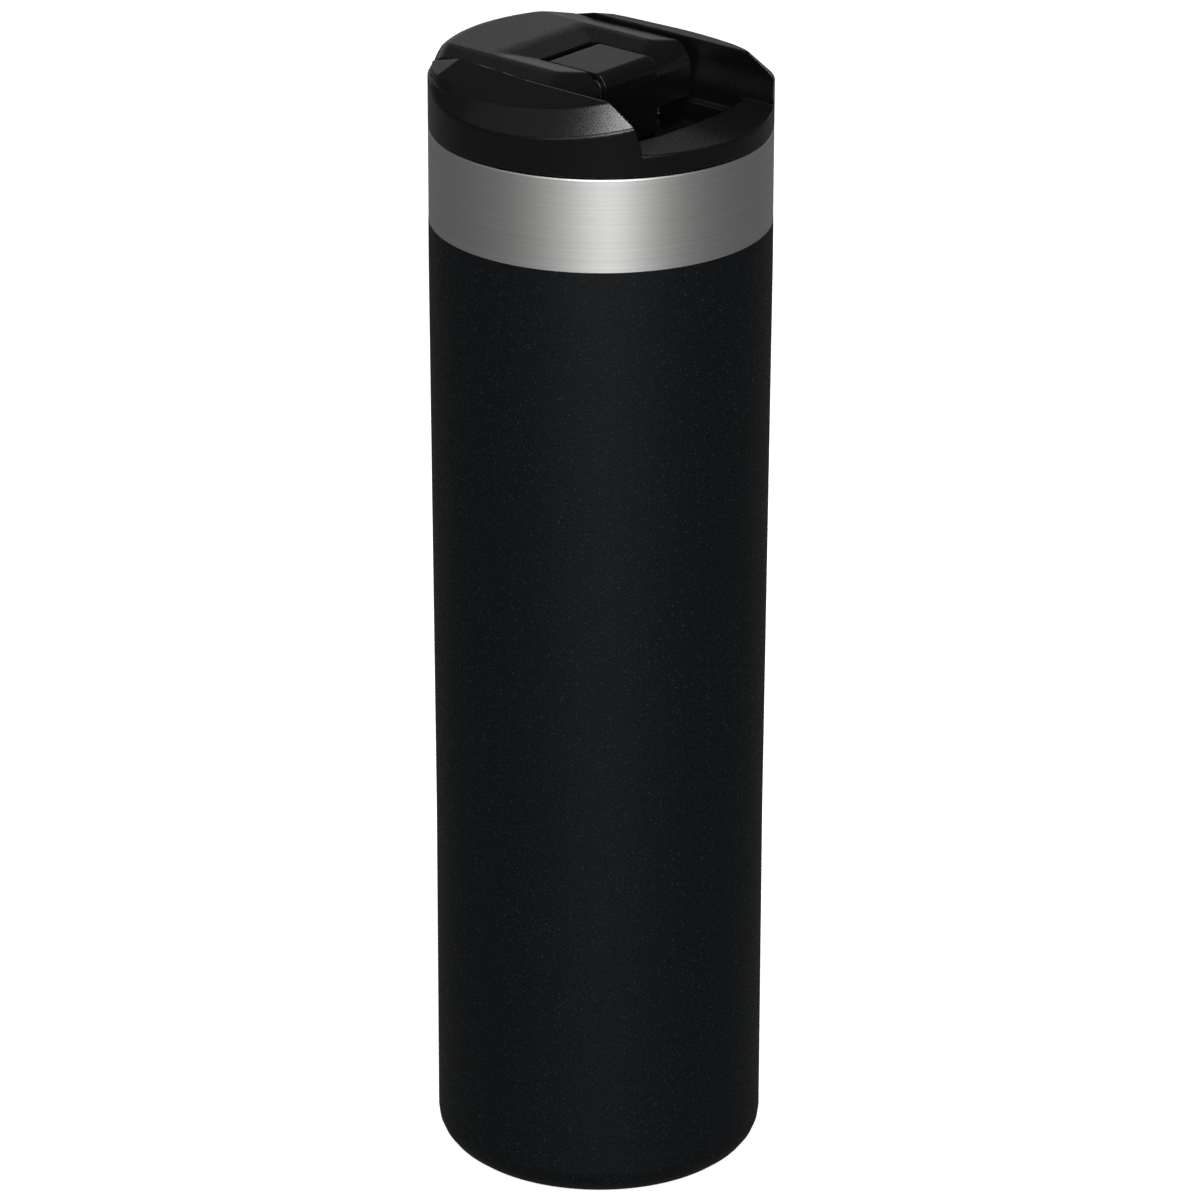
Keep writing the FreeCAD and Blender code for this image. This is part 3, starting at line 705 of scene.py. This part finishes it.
# The height that every lamp points at, and half the floor's side.
LAMP_AIM = 0.15
FLOOR_HALF = 30.0


def add_camera():
    lens = bpy.data.cameras.new("camera")
    lens.lens = LENS
    lens.sensor_width = SENSOR
    camera = bpy.data.objects.new("camera", lens)
    bpy.context.scene.collection.objects.link(camera)
    bearing, pitch = math.radians(CAMERA_BEARING), math.radians(CAMERA_PITCH)
    place = (CAMERA_REACH * math.sin(bearing), -CAMERA_REACH * math.cos(bearing), CAMERA_HEIGHT)
    camera.matrix_world = (
        Matrix.Translation(place)
        @ Matrix.Rotation(bearing, 4, "Z") @ Matrix.Rotation(math.pi / 2 - pitch, 4, "X")
        @ Matrix.Rotation(math.radians(CAMERA_ROLL), 4, "Z")
    )
    bpy.context.scene.camera = camera


def lamp(name, bearing, reach, height, size, power):
    """A soft box around the mug, at 0 degrees on the drinking side and 90 on the +X side."""
    light = bpy.data.lights.new(name, "AREA")
    light.shape = "RECTANGLE"
    light.size, light.size_y = size
    light.energy = power
    thing = bpy.data.objects.new(name, light)
    bpy.context.scene.collection.objects.link(thing)
    turn = math.radians(bearing)
    place = Vector((reach * math.sin(turn), -reach * math.cos(turn), height))
    facing = (Vector((0, 0, LAMP_AIM)) - place).to_track_quat("-Z", "Y")
    thing.matrix_world = Matrix.Translation(place) @ facing.to_matrix().to_4x4()
    thing.visible_camera = False


def add_floor():
    """A white floor that only the camera sees, so that it doesn't light the mug from below."""
    material, tree, shader = new_material("floor")
    shade = noise(tree, (3.0, 3.0, 3.0))
    tint(tree, shader, ramp(tree, shade, 0, 1), (0.80, 0.80, 0.80), (0.82, 0.82, 0.82))
    shader.inputs["Roughness"].default_value = 0.9
    shader.inputs["Specular IOR Level"].default_value = 0.1
    shader.inputs["Emission Color"].default_value = (1, 1, 1, 1)
    shader.inputs["Emission Strength"].default_value = 0.85
    mesh = bpy.data.meshes.new("floor")
    corners = [(-FLOOR_HALF, -FLOOR_HALF, 0), (FLOOR_HALF, -FLOOR_HALF, 0), (FLOOR_HALF, FLOOR_HALF, 0),
               (-FLOOR_HALF, FLOOR_HALF, 0)]
    mesh.from_pydata(corners, [], [(0, 1, 2, 3)])
    floor = bpy.data.objects.new("floor", mesh)
    bpy.context.scene.collection.objects.link(floor)
    mesh.materials.append(material)
    floor.visible_glossy = False
    floor.visible_diffuse = False


def add_world():
    """White to the camera. To the mug it is dim, and a little less so below the horizon."""
    world = bpy.data.worlds.new("studio")
    bpy.context.scene.world = world
    world.use_nodes = True
    tree = world.node_tree
    place = add(tree, "ShaderNodeTexCoord")
    way = add(tree, "ShaderNodeSeparateXYZ")
    tree.links.new(place.outputs["Generated"], way.inputs["Vector"])
    glow = ramp(tree, way.outputs["Z"], 0.125, 0.055, -0.30, -0.10)
    ray = add(tree, "ShaderNodeLightPath")
    total = add(tree, "ShaderNodeMath", operation="ADD")
    tree.links.new(ray.outputs["Is Camera Ray"], total.inputs[0])
    tree.links.new(glow, total.inputs[1])
    background = tree.nodes["Background"]
    background.inputs["Color"].default_value = (1, 1, 1, 1)
    tree.links.new(total.outputs["Value"], background.inputs["Strength"])


def add_lamps():
    lamp("key", bearing=-45, reach=1.7, height=0.85, size=(0.5, 0.9), power=12)
    lamp("fill", bearing=-50, reach=2.2, height=1.1, size=(3.6, 1.2), power=17)
    lamp("top", bearing=-46, reach=0.55, height=1.76, size=(0.5, 0.5), power=16)
    lamp("side", bearing=-135, reach=1.0, height=1.25, size=(1.0, 1.0), power=0.6)
    lamp("backdrop", bearing=130, reach=1.7, height=0.565, size=(3.6, 0.56), power=2.6)


make_bottle()
make_lid()
make_flap()
finish_cad_nodes()
add_camera()
add_floor()
add_world()
add_lamps()
bpy.context.scene.view_settings.view_transform = "Standard"
